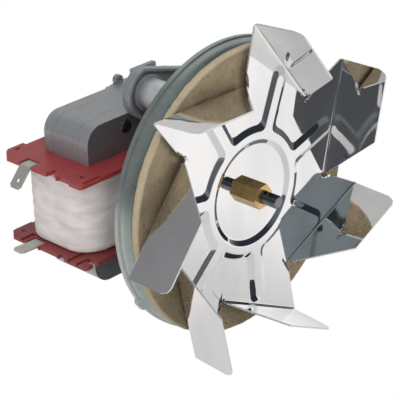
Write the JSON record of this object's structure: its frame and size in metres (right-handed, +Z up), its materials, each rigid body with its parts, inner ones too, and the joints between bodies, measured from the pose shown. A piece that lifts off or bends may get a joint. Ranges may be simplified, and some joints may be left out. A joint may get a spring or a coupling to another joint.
{
  "type": "oven fan motor",
  "caption": "Hot air fan motor for an oven: shaded pole C frame motor behind an insulated round flange, with a folded sheet fan wheel.",
  "frame": {"origin": "centre of the mounting flange's rear rim, on the shaft axis", "axes": "-Y along the shaft towards the fan and the oven, +Z up, coil towards -X"},
  "size_m": [0.152, 0.1081, 0.1466],
  "materials": {
    "fan_steel": "mirror polished stainless sheet",
    "brass": "turned and polished",
    "dark_steel": "blackened turned steel",
    "plated_steel": "zinc plated",
    "mineral_fibre": "compressed mineral fibre board with a ragged edge",
    "galvanised": "galvanised sheet, grey green",
    "cast_alloy": "die cast, satin",
    "lamination": "ground edges of stacked electrical steel, dark faces",
    "bobbin_red": "glass filled nylon, brick red",
    "copper_wire": "enamelled copper",
    "coil_tape": "woven glass tape in overlapping turns",
    "tinned_brass": "tinned, satin",
    "copper_bar": "bare copper",
    "bronze": "sintered bronze",
    "felt": "oil felt",
    "cage_alloy": "cast",
    "nylon": "natural nylon"
  },
  "bodies": {
    "motor": {"insulation_disc": "mineral_fibre", "mounting_flange": "galvanised", "flange_screws": "plated_steel", "front_bracket": "cast_alloy", "rear_bracket": "cast_alloy", "stator_stack": "lamination", "bridge_core": "lamination", "stack_rivets": "dark_steel", "shading_rings": "copper_bar", "bobbin": "bobbin_red", "coil_winding": "copper_wire", "coil_tape": "coil_tape", "terminal_upper": "tinned_brass", "terminal_lower": "tinned_brass", "through_bolts": "plated_steel", "through_nuts": "plated_steel", "front_bearing": "bronze", "rear_bearing": "bronze", "front_bearing_clip": "plated_steel", "rear_bearing_clip": "plated_steel", "front_oil_felt": "felt", "rear_oil_felt": "felt"},
    "rotor": {"fan_wheel": "fan_steel", "hub_nut": "brass", "shaft": "dark_steel", "fan_collar": "plated_steel", "rotor_core": "lamination", "rotor_cage": "cage_alloy", "rotor_spacers": "nylon", "thrust_washers": "nylon"}
  },
  "joints": [
    {"name": "rotor_spin", "type": "hinge", "parent": "motor", "child": "rotor", "pos_m": [0, 0, 0], "axis": [0, 1, 0], "continuous": true}
  ]
}
